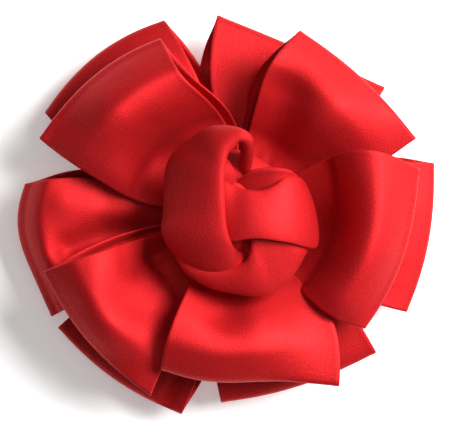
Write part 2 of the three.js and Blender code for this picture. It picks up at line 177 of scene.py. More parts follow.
# how finely a curve is sampled: one that is walked at even steps, a loop's side edge and a crease
CURVE_SAMPLES = 1200
RAY_SAMPLES = 200
CREASE_SAMPLES = 24


def catmull_rom(points, t):
    """Points on a smooth curve through the given ones, at t from 0 to 1."""
    p = np.asarray(points, float)
    p = np.concatenate([[2 * p[0] - p[1]], p, [2 * p[-1] - p[-2]]])
    spans = len(p) - 3
    x = np.clip(np.asarray(t, float), 0, 1) * spans
    i = np.minimum(x.astype(int), spans - 1)
    f = (x - i).reshape((-1,) + (1,) * (p.ndim - 1))
    a, b, c, d = p[i], p[i + 1], p[i + 2], p[i + 3]
    return 0.5 * (2 * b + (c - a) * f + (2 * a - 5 * b + 4 * c - d) * f**2
                  + (3 * b - a - 3 * c + d) * f**3)


def even_curve(points, count):
    """count points evenly spaced along the smooth curve through the given points."""
    fine = catmull_rom(points, np.linspace(0, 1, CURVE_SAMPLES))
    along = np.concatenate([[0], np.cumsum(np.linalg.norm(np.diff(fine, axis=0), axis=1))])
    at = np.linspace(0, along[-1], count)
    return np.stack([np.interp(at, along, fine[:, k]) for k in range(fine.shape[1])], axis=-1)


def smooth_step(x, start, end):
    """0 up to start, 1 from end, and a smooth rise between them."""
    f = np.clip((x - start) / (end - start), 0, 1)
    return f * f * (3 - 2 * f)


def grid_normals(grid):
    """Unit normals of a rows x columns x 3 grid."""
    cross = np.cross(np.gradient(grid, axis=0), np.gradient(grid, axis=1))
    return cross / np.maximum(np.linalg.norm(cross, axis=-1, keepdims=True), 1e-9)


def new_object(name, vertices, faces, material, uvs=None):
    """A smooth-shaded mesh object from vertices in mm, with a UV map called cloth if uvs are given."""
    mesh = bpy.data.meshes.new(name)
    mesh.from_pydata([tuple(v) for v in np.asarray(vertices) * MM], [], faces)
    mesh.polygons.foreach_set("use_smooth", [True] * len(faces))
    if uvs is not None:
        layer = mesh.uv_layers.new(name="cloth")
        corner = np.empty(len(mesh.loops), int)
        mesh.loops.foreach_get("vertex_index", corner)
        layer.data.foreach_set("uv", np.asarray(uvs)[corner].ravel())
    mesh.materials.append(material)
    mesh.update()
    obj = bpy.data.objects.new(name, mesh)
    bpy.context.scene.collection.objects.link(obj)
    return obj


def grid_size(grid):
    """The average width and length of a rows x columns grid, measured along its surface."""
    width = np.linalg.norm(np.diff(grid, axis=1), axis=2).sum(axis=1).mean()
    length = np.linalg.norm(np.diff(grid, axis=0), axis=2).sum(axis=0).mean()
    return width, length


def ribbon_object(name, grid, material, thickness=RIBBON_THICKNESS, edge=SELVEDGE_THICKNESS,
                  width=RIBBON_WIDTH):
    """A closed ribbon round a middle surface of rows x columns points, with a thicker selvedge."""
    rows, columns = grid.shape[:2]
    normal = grid_normals(grid)
    across = np.linspace(0, width, columns)
    along = np.concatenate([[0], np.cumsum(np.linalg.norm(
        np.diff(grid[:, columns // 2], axis=0), axis=1))])
    from_edge = np.minimum(across, width - across)
    half = thickness / 2 + (edge - thickness) / 2 * (1 - smooth_step(from_edge, *SELVEDGE_FADES))
    offset = normal * half[None, :, None]
    outward = np.zeros_like(grid)
    for column, inner in ((0, 1), (columns - 1, columns - 2)):
        away = grid[:, column] - grid[:, inner]
        outward[:, column] = away / np.linalg.norm(away, axis=-1, keepdims=True) * edge / 2
    rim = [grid[:, c] + outward[:, c] for c in (columns - 1, 0)]
    # one closed section: the upper side, the rounded rim, the lower side and the other rim
    section = [grid[:, c] + offset[:, c] for c in range(columns)] + [rim[0]]
    section += [grid[:, c] - offset[:, c] for c in range(columns - 1, -1, -1)] + [rim[1]]
    ring = np.stack(section, axis=1)
    count = ring.shape[1]
    u = np.concatenate([across, [width], across[::-1], [0]]) / width
    uvs = np.stack(np.broadcast_arrays(u[None, :], along[:, None] / width), axis=-1)
    faces = []
    for i in range(rows - 1):
        for j in range(count):
            k = (j + 1) % count
            faces.append((i * count + j, (i + 1) * count + j, (i + 1) * count + k, i * count + k))
    # the cut ends are closed by strips between the two sides
    last = (rows - 1) * count
    for j in range(columns - 1):
        lower = 2 * columns - j
        faces.append((j, j + 1, lower - 1, lower))
        faces.append((last + j + 1, last + j, last + lower, last + lower - 1))
    for a, b, c in ((columns - 1, columns, columns + 1), (0, 2 * columns, 2 * columns + 1)):
        faces.append((a, b, c))
        faces.append((last + c, last + b, last + a))
    return new_object(name, ring.reshape(-1, 3), faces, material, uvs.reshape(-1, 2))


# ---- The loops' shapes ----


def side_view(layer, loop, rows):
    """A loop's side view, rows x (share of the way out, height): from the upper gathered end over the
    fold and back underneath."""
    pit, out, rise = loop["crest"]
    top, bottom, fold, belly = layer["top"], layer["bottom"], layer["fold"], layer["belly"]
    peak = fold + rise
    turns = np.linspace(0, math.pi / 2, 7)[1:]
    climb = [(pit + (out - pit) * a / (math.pi / 2), top + (peak - top) * math.sin(a)) for a in turns]
    slope = [(out + (NOSE_FROM - out) * share, peak - (peak - fold - NOSE_RADIUS) * share**1.5)
             for share in (0.25, 0.5, 0.75, 1)]
    under = [(1, fold), (NOSE_FROM, fold - NOSE_RADIUS)]
    # the belly hangs at four fifths of the way out, and rises from there to the lower gathered end
    under += [(x, belly + (bottom - belly) * share)
              for x, share in ((0.8, 0), (0.6, 0.35), (0.4, 0.8), (0.2, 1), (0, 1))]
    points = [(0, top), (pit * 0.6, top)] + climb + slope + under
    return even_curve([(x * PROFILE_LENGTH, z) for x, z in points], rows) / (PROFILE_LENGTH, 1)


def fold_reach(loop, share):
    """How far out the fold is at a share across: on the line between its corners, plus bow and wave."""
    sides = loop["cw"], loop["ccw"]
    corner = [np.array([math.cos(math.radians(c.corner)), math.sin(math.radians(c.corner))]) * c.reach
              for c in sides]
    ray = np.radians(sides[0].corner + (sides[1].corner - sides[0].corner) * share)
    chord = corner[1] - corner[0]
    straight = (corner[0][0] * chord[1] - corner[0][1] * chord[0]) / (
        np.cos(ray) * chord[1] - np.sin(ray) * chord[0])
    return straight + loop["bow"] * 4 * share * (1 - share) + loop["wave"] * np.sin(2 * math.pi * share)


def side_ray(side, out):
    """The ray that a side edge is on at a share of the way out to the fold."""
    stops = [(ROOT_RADIUS, side.near), (NEAR, side.near), (MIDWAY, side.midway),
             (side.reach, side.corner)]
    curve = catmull_rom(stops, np.linspace(0, 1, RAY_SAMPLES))
    return np.interp(ROOT_RADIUS + (side.reach - ROOT_RADIUS) * out, curve[:, 0], curve[:, 1])


def plan(loop, out, across):
    """Where a share of the way out and across is, seen from above, as a radius and a ray in radians."""
    radius = ROOT_RADIUS + (fold_reach(loop, across) - ROOT_RADIUS) * out
    from_ray, to_ray = side_ray(loop["cw"], out), side_ray(loop["ccw"], out)
    ray = np.radians(from_ray + (to_ray - from_ray) * across)
    return radius, ray


def flat_place(radius, ray):
    """x and y from a radius and a ray."""
    return np.stack([radius * np.cos(ray), radius * np.sin(ray)], axis=-1)


def fold_height(loop, radius, ray):
    """How far the loop's soft creases raise each point."""
    height = np.zeros(np.broadcast(radius, ray).shape)
    place = flat_place(radius, ray)
    for *path, width, rise in loop["folds"]:
        line = np.array([np.ravel(plan(loop, np.array(out), across)) for out, across in path])
        line = catmull_rom(flat_place(line[:, 0], line[:, 1]), np.linspace(0, 1, CREASE_SAMPLES))
        away = place[..., None, :] - line
        distance = np.min(np.hypot(away[..., 0], away[..., 1]), axis=-1)
        height += rise * np.exp(-(distance / width) ** 2)
    return height


def folded(loop, layer, rows, columns):
    """The loop's middle surface as folded and sewn, rows x columns x 3, in mm."""
    side = side_view(layer, loop, rows)
    v = np.linspace(0, 1, columns)[None, :]
    x, z = side[:, :1], side[:, 1:]
    fold_row = int(np.argmax(x))
    before, after = PLY_TURNS
    lower = smooth_step(np.arange(rows)[:, None], fold_row - rows * before, fold_row + rows * after)
    root = layer["top"] * 0.5 + layer["bottom"] * 0.5
    middle = root + (layer["fold"] - root) * x
    cw, ccw = loop["cw"], loop["ccw"]
    lift = (cw.lift + (ccw.lift - cw.lift) * v) * x**2
    halfway = np.sin(math.pi * np.clip(x, 0, 1))
    by_cw, by_ccw = 1 - smooth_step(v, 0.0, SIDE_REACH), 1 - smooth_step(1 - v, 0.0, SIDE_REACH)
    lift = lift + (cw.raised * by_cw + ccw.raised * by_ccw) * halfway
    height = middle + (z - middle) * (1 - cw.closing * by_cw - ccw.closing * by_ccw) + lift
    radius, ray = plan(loop, x, v)
    creased = fold_height(loop, radius, ray) * smooth_step(x, *CREASE_GROWS)
    height = height + creased * (1 - lower) + np.minimum(creased, 0) * lower
    ray = ray + loop["skew"] * lower * halfway / radius
    return np.stack([radius * np.cos(ray), radius * np.sin(ray), height + 0 * ray], axis=-1)


def flat_strip(grid, number):
    """The flat ribbon that a folded loop's grid comes from, laid beside those of the other loops."""
    rows, columns = grid.shape[:2]
    length = grid_size(grid)[1] * SIM_SLACK
    along = np.linspace(0, length, rows)[:, None]
    drawn = np.linalg.norm(np.diff(grid, axis=1), axis=2).sum(axis=1)[:, None]
    width = drawn + (RIBBON_WIDTH - drawn) * SIM_FREED
    across = np.linspace(-0.5, 0.5, columns)[None, :] * width
    return np.stack([across + number * 2 * RIBBON_WIDTH, along + 0 * across, 0 * across], axis=-1)


def satin_cloth(cloth, flat_key):
    """Give the object a Cloth modifier with the settings of ribbon that settles without gravity."""
    modifier = cloth.modifiers.new("cloth", "CLOTH")
    settings = modifier.settings
    settings.quality = 6
    settings.mass = 0.15
    settings.tension_stiffness = settings.compression_stiffness = 20
    settings.shear_stiffness = 5
    settings.bending_stiffness = 12
    settings.tension_damping = settings.compression_damping = settings.shear_damping = 5
    settings.bending_damping = 1
    settings.air_damping = 5
    settings.vertex_group_mass = "held"
    settings.rest_shape_key = flat_key
    settings.effector_weights.gravity = 0
    modifier.collision_settings.use_collision = False
    modifier.point_cache.frame_start = 1
    modifier.point_cache.frame_end = SIM_FRAMES


def relaxed(grids):
    """The loops after Blender's Cloth has let the satin settle between its stitches and its folds."""
    rows, columns = grids[0].shape[:2]
    points, flat, faces, sewn, corners = [], [], [], [], []
    for number, grid in enumerate(grids):
        start = number * rows * columns
        points.append(grid.reshape(-1, 3) * SIM_SCALE)
        flat.append(flat_strip(grid, number).reshape(-1, 3) * SIM_SCALE)
        for i in range(rows - 1):
            for j in range(columns - 1):
                a = start + i * columns + j
                faces.append((a, a + 1, a + columns + 1, a + columns))
        sewn += [start + i * columns + j for i in (0, 1, rows - 2, rows - 1) for j in range(columns)]
        fold_row = int(np.argmax(np.linalg.norm(grid[:, columns // 2, :2], axis=1)))
        corners += [start + (fold_row + i) * columns + j for i in (-1, 0, 1) for j in (0, columns - 1)]
    mesh = bpy.data.meshes.new("settling")
    mesh.from_pydata([tuple(p) for p in np.concatenate(points)], [], faces)
    cloth = bpy.data.objects.new("settling", mesh)
    bpy.context.scene.collection.objects.link(cloth)
    cloth.shape_key_add(name="Basis")
    cloth.shape_key_add(name="flat").data.foreach_set("co", np.concatenate(flat).ravel())
    held = cloth.vertex_groups.new(name="held")
    held.add(sewn, 1.0, "REPLACE")
    held.add(corners, CORNER_HOLD, "REPLACE")
    satin_cloth(cloth, mesh.shape_keys.key_blocks["flat"])
    for frame_number in range(1, SIM_FRAMES + 1):
        bpy.context.scene.frame_set(frame_number)
    settled = cloth.evaluated_get(bpy.context.evaluated_depsgraph_get()).data
    out = np.empty(len(settled.vertices) * 3)
    settled.vertices.foreach_get("co", out)
    bpy.data.objects.remove(cloth)
    bpy.data.meshes.remove(mesh)
    bpy.context.scene.frame_set(1)
    moved = out.reshape(len(grids), rows, columns, 3) / SIM_SCALE - np.array(grids)
    far = np.linalg.norm(moved, axis=-1, keepdims=True)
    moved = moved * np.minimum(1, SIM_CAP / np.maximum(far, 1e-9))
    reach = np.linalg.norm(np.array(grids)[..., :2], axis=-1, keepdims=True)
    moved = moved * smooth_step(reach, *SIM_GROWS)
    # each point's move is evened out with its neighbours', along and then across the ribbon
    for axis in (1, 2):
        before, after = np.roll(moved, 1, axis), np.roll(moved, -1, axis)
        first, last = [slice(None)] * 4, [slice(None)] * 4
        first[axis], last[axis] = 0, -1
        before[tuple(first)], after[tuple(last)] = moved[tuple(first)], moved[tuple(last)]
        moved = (before + 2 * moved + after) / 4
    return np.array(grids) + moved


def finer(grid, rows, columns):
    """The same surface with more rows and columns, on smooth curves."""
    wide = catmull_rom(grid.transpose(1, 0, 2), np.linspace(0, 1, columns)).transpose(1, 0, 2)
    return catmull_rom(wide, np.linspace(0, 1, rows))


def gathered(grid, layer, loop):
    """The loop with its gathers: shallow ones by the thread on top, and deeper ones underneath."""
    rows, columns = grid.shape[:2]
    out = side_view(layer, loop, rows)[:, :1]
    v = np.linspace(0, 1, columns)[None, :]
    fold_row = int(np.argmax(out))
    underneath = smooth_step(np.arange(rows)[:, None], fold_row, fold_row + rows * BELLY_PLEATS_AFTER)
    on_top = GATHER_DEPTH * (1 - smooth_step(out, 0.0, GATHER_REACH)) * (1 - underneath)
    radius = np.linalg.norm(grid[..., :2], axis=-1)
    grown = smooth_step(radius, *BELLY_PLEAT_GROWS)
    below = BELLY_PLEAT_NEAR + (BELLY_PLEAT_DEPTH - BELLY_PLEAT_NEAR) * grown
    below = below * (1 - smooth_step(out, *BELLY_PLEAT_FADES)) * underneath
    pleated = grid.copy()
    pleated[..., 2] += on_top * np.cos(2 * math.pi * GATHER_PLEATS * v)
    pleated[..., 2] += below * (np.cos(2 * math.pi * BELLY_PLEATS * v) - 1)
    # nothing sags through the felt disc
    lowest = OVER_FELT - BELOW_FELT * smooth_step(radius, *PAST_FELT)
    pleated[..., 2] = np.maximum(pleated[..., 2], lowest)
    return pleated


# ---- Materials ----


def shader(name, color, roughness, metallic=0.0, **sockets):
    """A Principled material. Other sockets are named with _ for a space."""
    material = bpy.data.materials.new(name)
    material.use_nodes = True
    bsdf = material.node_tree.nodes["Principled BSDF"]
    bsdf.inputs["Base Color"].default_value = (*color, 1)
    bsdf.inputs["Roughness"].default_value = roughness
    bsdf.inputs["Metallic"].default_value = metallic
    for socket, value in sockets.items():
        bsdf.inputs[socket.replace("_", " ")].default_value = value
    return material, bsdf


def add_node(material, kind, links=(), **values):
    """Add a node; links are (its input, from node, from output) and values are properties or inputs."""
    tree = material.node_tree
    node = tree.nodes.new(kind)
    for key, value in values.items():
        if key in node.bl_rna.properties:
            setattr(node, key, value)
        else:
            node.inputs[key.replace("_", " ")].default_value = value
    for socket, source, output in links:
        tree.links.new(source.outputs[output], node.inputs[socket])
    return node


def noise_at(material, coordinates, scale, detail=2.0):
    """A noise texture stretched by a scale along each axis."""
    node, output = coordinates
    stretch = add_node(material, "ShaderNodeMapping", [("Vector", node, output)])
    stretch.inputs["Scale"].default_value = scale
    return add_node(material, "ShaderNodeTexNoise", [("Vector", stretch, "Vector")], Scale=1.0,
                    Detail=detail)


def varied(material, bsdf, by, low, high, roughness, rough_by=None):
    """Colour from low to high and roughness from one value to the other, by one noise or by two."""
    links = material.node_tree.links
    mixed = add_node(material, "ShaderNodeMix", [("Factor", by, "Fac")], data_type="RGBA")
    mixed.inputs["A"].default_value = (*low, 1)
    mixed.inputs["B"].default_value = (*high, 1)
    links.new([o for o in mixed.outputs if o.type == "RGBA"][0], bsdf.inputs["Base Color"])
    rough = add_node(material, "ShaderNodeMapRange", [("Value", rough_by or by, "Fac")],
                     To_Min=roughness[0], To_Max=roughness[1])
    links.new(rough.outputs["Result"], bsdf.inputs["Roughness"])


def bumped(material, bsdf, by, strength, depth, output="Fac"):
    """Relief by a noise or by a sum of noises, its depth in metres."""
    bump = add_node(material, "ShaderNodeBump", [("Height", by, output)], Strength=strength,
                    Distance=depth)
    material.node_tree.links.new(bump.outputs["Normal"], bsdf.inputs["Normal"])


def satin_material():
    """Red satin: a broad soft lustre along the ribbon, and a fine weave that breaks it up."""
    material, bsdf = shader("satin", (0.55, 0.008, 0.014), 0.6, 0.62, Anisotropic=0.3,
                            Specular_IOR_Level=0.2, Coat_Weight=0.05, Coat_Roughness=0.5,
                            Sheen_Weight=0.04, Sheen_Roughness=0.4, Sheen_Tint=(1, 0.3, 0.25, 1))
    cloth = add_node(material, "ShaderNodeUVMap", uv_map="cloth")
    tangent = add_node(material, "ShaderNodeTangent", direction_type="UV_MAP", uv_map="cloth")
    material.node_tree.links.new(tangent.outputs["Tangent"], bsdf.inputs["Tangent"])
    # the warp runs along the ribbon, so its streaks and floats are long that way
    streaks = noise_at(material, (cloth, "UV"), (170, 12, 1))
    grain = noise_at(material, (cloth, "UV"), (120, 95, 1))
    floats = noise_at(material, (cloth, "UV"), (210, 60, 1))
    both = add_node(material, "ShaderNodeMath", [(0, streaks, "Fac"), (1, floats, "Fac")],
                    operation="ADD")
    bumped(material, bsdf, both, 0.8, 0.00013, "Value")
    soft = add_node(material, "ShaderNodeTexNoise", [("Vector", cloth, "UV")], Scale=3.0, Detail=3.0)
    varied(material, bsdf, grain, (0.28, 0.002, 0.009), (0.72, 0.017, 0.0155), (0.58, 0.68), soft)
    return material


def metal_material(name, dull, bright, roughness):
    """Plated or drawn metal: fine lines along the stock, and cloudy patches where fingers dulled it."""
    material, bsdf = shader(name, bright, roughness[0], 1.0)
    place = add_node(material, "ShaderNodeTexCoord"), "Object"
    varied(material, bsdf, noise_at(material, place, (180, 420, 420), 5.0), dull, bright, roughness)
    bumped(material, bsdf, noise_at(material, place, (260, 9000, 7000)), 0.35, 0.00003)
    return material


def fibre_material(name, dark, light, grain, depth, sheen):
    """Matted or spun fibre: mottled colour, a fuzzy bump and a soft sheen."""
    material, bsdf = shader(name, light, 0.95, Sheen_Weight=sheen, Sheen_Roughness=0.6,
                            Sheen_Tint=(*light, 1))
    place = add_node(material, "ShaderNodeTexCoord"), "Object"
    varied(material, bsdf, noise_at(material, place, (grain / 3,) * 3, 6.0), dark, light, (0.88, 1.0))
    bumped(material, bsdf, noise_at(material, place, (grain,) * 3, 5.0), 0.9, depth)
    return material


def thread_material():
    """Two-ply thread: its twist shows as slanted dark lines of painted shade in the grooves."""
    material, bsdf = shader("thread", (0.4, 0.01, 0.02), 0.6)
    cloth = add_node(material, "ShaderNodeUVMap", uv_map="cloth")
    ply = add_node(material, "ShaderNodeTexWave", [("Vector", cloth, "UV")], Scale=1.0, Distortion=0.6,
                   bands_direction="DIAGONAL")
    # the wave darkens the colour where its bump is low: painted shade in the grooves between the plies
    varied(material, bsdf, ply, (0.2, 0.004, 0.008), (0.46, 0.014, 0.02), (0.55, 0.75))
    bumped(material, bsdf, ply, 0.6, 0.0001)
    return material


SATIN = satin_material()
NICKEL = metal_material("nickel", (0.62, 0.6, 0.56), (0.78, 0.76, 0.72), (0.18, 0.34))
SPRING = metal_material("spring_steel", (0.32, 0.32, 0.33), (0.58, 0.58, 0.58), (0.25, 0.4))
FELT = fibre_material("felt", (0.16, 0.004, 0.009), (0.36, 0.012, 0.018), 1500, 0.0004, 0.12)
THREAD = thread_material()
WADDING = fibre_material("wadding", (0.6, 0.56, 0.5), (0.86, 0.84, 0.8), 700, 0.0006, 0.3)

# ---- Loops ----

loop_grids = {f"{prefix}_{number}": folded(loop, layer, SIM_ROWS, SIM_COLUMNS)
              for prefix, loops, layer in LAYERS for number, loop in enumerate(loops, 1)}
loop_grids = dict(zip(loop_grids, relaxed(list(loop_grids.values()))))

for prefix, loops, layer in LAYERS:
    for number, loop in enumerate(loops, 1):
        node = f"{prefix}_{number}"
        grid = gathered(finer(loop_grids[node], LOOP_ROWS, LOOP_COLUMNS), layer, loop)
        ribbon = ribbon_object(f"{node}_ribbon", grid, SATIN)
        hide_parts(node)
        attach(ribbon, "flower")

# ---- Knot ----

# Each band of the knot is a stretch of the same ribbon, folded lengthwise to a narrow strip. Each of its
# rows is its outer and its inner edge at one place along it, as (x, y, z). fold is how far the inner edge
# is turned back underneath, tuck how far the outer edge turns down, and crown how far the band's middle
# stands proud.
KNOT_BANDS = {
    "knot_ribbon_lower": dict(crown=1.5, tuck=4.0, fold=1.6, rows=[
        ((-17.4, -8.4, 30.2), (-15.4, -9.4, 31.2)), ((-16.6, -12.6, 31.0), (-14.0, -12.6, 33.0)),
        ((-13.6, -18.0, 31.8), (-9.8, -15.8, 35.0)), ((-6.6, -22.2, 32.4), (-4.0, -17.2, 36.4)),
        ((1.6, -24.2, 32.8), (0.8, -16.6, 37.4)), ((6.2, -24.8, 33.0), (4.2, -14.8, 38.2)),
        ((10.0, -24.4, 33.0), (5.6, -11.6, 38.8)), ((13.2, -22.8, 33.0), (6.4, -7.4, 39.2)),
        ((16.6, -20.2, 32.8), (11.0, -5.4, 39.0)), ((19.8, -15.8, 32.4), (16.6, -6.2, 38.0)),
        ((21.6, -12.0, 31.5), (20.0, -7.5, 35.5))]),
    "knot_ribbon_behind": dict(crown=-0.8, tuck=0, fold=3.0, rows=[
        ((-2.0, 3.5, 33.0), (0.6, 8.0, 35.0)), ((1.0, 3.0, 34.0), (2.6, 9.8, 37.3)),
        ((4.0, 2.5, 35.0), (5.0, 11.6, 39.2)), ((8.0, 2.5, 36.5), (9.0, 12.6, 40.3)),
        ((11.5, 3.0, 38.0), (13.4, 12.6, 40.4)), ((14.5, 4.5, 38.8), (17.0, 12.1, 39.2)),
        ((17.0, 5.5, 38.0), (19.8, 10.2, 36.6))]),
    "knot_ribbon_inner": dict(crown=0.4, tuck=0, fold=3.2, rows=[
        ((-5.2, 16.8, 39.8), (-2.4, 16.6, 39.0)), ((-5.0, 14.5, 39.8), (-0.5, 14.2, 37.4)),
        ((-5.0, 11.5, 39.6), (1.4, 11.2, 36.0)), ((-5.0, 7.2, 38.0), (2.9, 7.2, 34.0))]),
    "knot_ribbon_right": dict(crown=1.3, tuck=1.2, fold=2.2, rows=[
        ((-6.0, -8.5, 38.6), (-6.0, 9.6, 39.6)), ((-2.6, -8.6, 39.8), (-2.6, 9.0, 40.6)),
        ((1.2, -8.3, 41.8), (0.9, 7.3, 40.6)), ((6.3, -7.5, 43.0), (4.6, 6.4, 41.4)),
        ((11.8, -8.0, 42.6), (8.6, 6.2, 41.6)), ((17.2, -8.9, 40.2), (12.6, 7.6, 41.2)),
        ((21.2, -10.0, 37.0), (16.6, 10.4, 39.2)), ((24.2, -10.6, 33.6), (20.4, 10.0, 35.8)),
        ((25.2, -9.8, 31.0), (22.2, 6.4, 32.6)), ((23.6, -9.0, 27.6), (21.2, 4.0, 28.6))]),
    "knot_ribbon_left": dict(crown=2.0, tuck=4.5, fold=2.8, rows=[
        ((5.2, 12.0, 33.5), (2.6, 11.4, 33.0)), ((5.9, 15.4, 37.2), (2.5, 14.6, 36.6)),
        ((6.1, 18.8, 40.8), (2.7, 17.9, 40.4)), ((5.7, 21.7, 43.0), (2.5, 20.3, 43.4)),
        ((3.6, 23.7, 43.2), (1.6, 20.4, 44.8)), ((0.4, 24.8, 42.2), (0.2, 19.4, 45.4)),
        ((-3.2, 25.2, 40.8), (-1.6, 17.8, 45.7)), ((-7.4, 24.5, 39.2), (-2.5, 15.4, 45.8)),
        ((-12.4, 21.4, 35.9), (-3.0, 12.6, 45.8)), ((-17.9, 16.6, 33.0), (-3.2, 9.6, 45.8)),
        ((-19.7, 11.6, 31.4), (-3.2, 6.6, 45.7)), ((-20.0, 5.0, 31.4), (-3.1, 3.4, 45.6)),
        ((-20.3, -1.0, 32.0), (-2.9, 0.0, 45.3)), ((-20.8, -5.6, 33.0), (-2.5, -3.4, 44.8)),
        ((-19.2, -9.4, 33.4), (-1.9, -6.4, 44.2)), ((-16.2, -13.2, 33.0), (-1.1, -8.8, 43.4)),
        ((-11.8, -17.0, 32.6), (-0.1, -10.8, 42.2)), ((-6.0, -18.8, 32.0), (1.0, -11.9, 40.2)),
        ((-0.6, -18.6, 31.6), (1.9, -12.4, 37.4)), ((3.0, -16.8, 31.4), (2.9, -12.2, 35.0)),
        ((5.2, -13.4, 31.6), (3.8, -11.0, 34.0)), ((5.8, -10.0, 32.4), (4.4, -9.4, 34.0))]),
}
# how round the turned-in edge is
FOLD_ROUND = 0.9
# across a band's face, as (share of its width, share of its crown)
BAND_FACE = [(0, 0), (0.04, 0.3), (0.14, 0.68), (0.32, 0.95), (0.55, 1), (0.8, 0.75), (0.96, 0.22)]
BAND_THICKNESS, BAND_EDGE = 0.5, 0.6
# The ball of hidden wraps under the bands: its middle, its radius, its half height and how thick it is.
BALL_CENTRE = (-0.5, 1.5, 29.0)
BALL_RADIUS = 17.0
BALL_RISE = 7.5
BALL_THICKNESS = 0.7
# The wad is this share of its CAD solid, so that the ball of wraps covers it.
CORE_SHRINK = 0.7
CORE_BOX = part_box("knot_core")


def knot_grid(rows, crown, tuck, fold, count=84, columns=34):
    """A folded band's middle surface: across it go the tucked edge, the face and the turned-in edge."""
    place = np.linspace(0, 1, count)
    outer, inner = (catmull_rom([row[side] for row in rows], place) for side in (0, 1))
    across = inner - outer
    width = np.linalg.norm(across, axis=1, keepdims=True)
    across = across / width
    along = np.gradient((outer + inner) / 2, axis=0)
    up = np.cross(along, across)
    up = up / np.linalg.norm(up, axis=1, keepdims=True)
    width, none = width[:, 0], np.zeros(count)
    points = [(width * share, none + crown * rise) for share, rise in BAND_FACE]
    if tuck:
        points = [(none + tuck * 0.45, none - tuck), (none + tuck * 0.12, none - tuck * 0.5)] + points
    points += [(width, none - FOLD_ROUND * 0.6), (width - 0.5, none - FOLD_ROUND * 1.7),
               (width - fold, none - FOLD_ROUND * 2.2)]
    section = catmull_rom(np.transpose(points, (0, 2, 1)), np.linspace(0, 1, columns))
    section = section.transpose(1, 0, 2)
    return outer[:, None] + section[..., :1] * across[:, None] + section[..., 1:] * up[:, None]


def knot_inside():
    """The knot's hidden first wraps, as one wound ball that closes the gaps between the bands."""
    turn = np.linspace(0, 2 * math.pi, 65)[:, None]
    rise = np.linspace(-1.35, 1.45, 33)[None, :]
    radius = BALL_RADIUS * (1 + 0.02 * np.cos(3 * turn + 2 * rise))
    x, y = radius * np.cos(turn) * np.cos(rise), radius * np.sin(turn) * np.cos(rise)
    z = BALL_RISE * np.sin(rise) + 0 * turn
    return np.stack([x, y, z], axis=-1) + np.array(BALL_CENTRE)


def lumpy_ball(rings=24, around=48):
    """The wad of fibre that fills the knot, an uneven flattened ball."""
    low, high = CORE_BOX
    middle, half = (high + low) / 2 / MM, (high - low) / 2 / MM * CORE_SHRINK
    points, faces = [], []
    for i in range(1, rings):
        colat = math.pi * i / rings
        for j in range(around):
            turn = 2 * math.pi * j / around
            bump = 1 + 0.03 * math.sin(5 * turn + 3 * colat) + 0.02 * math.sin(9 * turn - 7 * colat)
            points.append((middle.x + half.x * bump * math.sin(colat) * math.cos(turn),
                           middle.y + half.y * bump * math.sin(colat) * math.sin(turn),
                           middle.z + half.z * bump * math.cos(colat)))
    for i in range(rings - 2):
        for j in range(around):
            a, b = i * around + j, i * around + (j + 1) % around
            faces.append((a, a + around, b + around, b))
    faces.append(tuple(range(around)))
    faces.append(tuple(reversed(range((rings - 2) * around, (rings - 1) * around))))
    return points, faces


def knot_piece(name, grid, thickness, edge):
    """A stretch of the knot's ribbon, which rides on the flower."""
    ribbon = ribbon_object(name, grid, SATIN, thickness, edge)
    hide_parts("knot_ribbon")
    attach(ribbon, "flower")


core = new_object("knot_core_wadding", *lumpy_ball(), WADDING)
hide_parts("knot_core")
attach(core, "flower")

knot_piece("knot_ribbon_inside", knot_inside(), BALL_THICKNESS, BALL_THICKNESS)
for name, band in KNOT_BANDS.items():
    knot_piece(name, knot_grid(**band), BAND_THICKNESS, BAND_EDGE)

# ---- Thread ----

THREAD_RADIUS = 0.24
STITCHING_RADIUS = 0.3
# The plies make the section swell and narrow by this share, and turn by this angle in a mm.
PLY_DEPTH = 0.12
PLY_TURN = 2.4
# Any direction that no strand starts out in.
SLANT = (0.31, 0.2, 0.93)
TURN_POINTS = 20
STITCHING_MARGIN = 0.4
GATHER_RING = 4.85
GATHER_MARGIN = 0.25


def strand(path, radius, sides=8, ply=PLY_DEPTH):
    """A closed round strand along a path in mm: its vertices, faces and UVs."""
    path = np.asarray(path, float)
    tangent = np.gradient(path, axis=0)
    tangent /= np.linalg.norm(tangent, axis=1, keepdims=True)
    # the section's first direction is carried along without turning about the strand
    toward, first = np.cross(tangent[0], SLANT), []
    for t in tangent:
        toward = toward - t * (toward @ t)
        toward = toward / np.linalg.norm(toward)
        first.append(toward)
    first = np.array(first)[:, None]
    second = np.cross(tangent, first[:, 0])[:, None]
    turn = np.arange(sides) * 2 * math.pi / sides
    along = np.concatenate([[0], np.cumsum(np.linalg.norm(np.diff(path, axis=0), axis=1))])
    plies = np.abs(np.cos(turn[None, :] + along[:, None] * PLY_TURN))
    swell = radius * (1 - ply + ply * plies)[..., None]
    ring = path[:, None] + swell * (np.cos(turn)[:, None] * first + np.sin(turn)[:, None] * second)
    uvs = np.stack(np.broadcast_arrays(turn[None, :] / math.pi, along[:, None] / radius / 2), axis=-1)
    faces = []
    for i in range(len(path) - 1):
        for j in range(sides):
            k = (j + 1) % sides
            faces.append((i * sides + j, i * sides + k, (i + 1) * sides + k, (i + 1) * sides + j))
    faces.append(tuple(reversed(range(sides))))
    faces.append(tuple(range((len(path) - 1) * sides, len(path) * sides)))
    return ring.reshape(-1, 3), faces, uvs.reshape(-1, 2)


def strands_object(name, strands, material, node, body):
    """One piece made of strands, which rides on a body unless that is None."""
    vertices, faces, uvs = [], [], []
    for points, corners, places in strands:
        start = sum(len(v) for v in vertices)
        vertices.append(points)
        uvs.append(places)
        faces += [tuple(start + c for c in face) for face in corners]
    piece = new_object(name, np.concatenate(vertices), faces, material, np.concatenate(uvs))
    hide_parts(node)
    if body:
        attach(piece, body)
    return piece


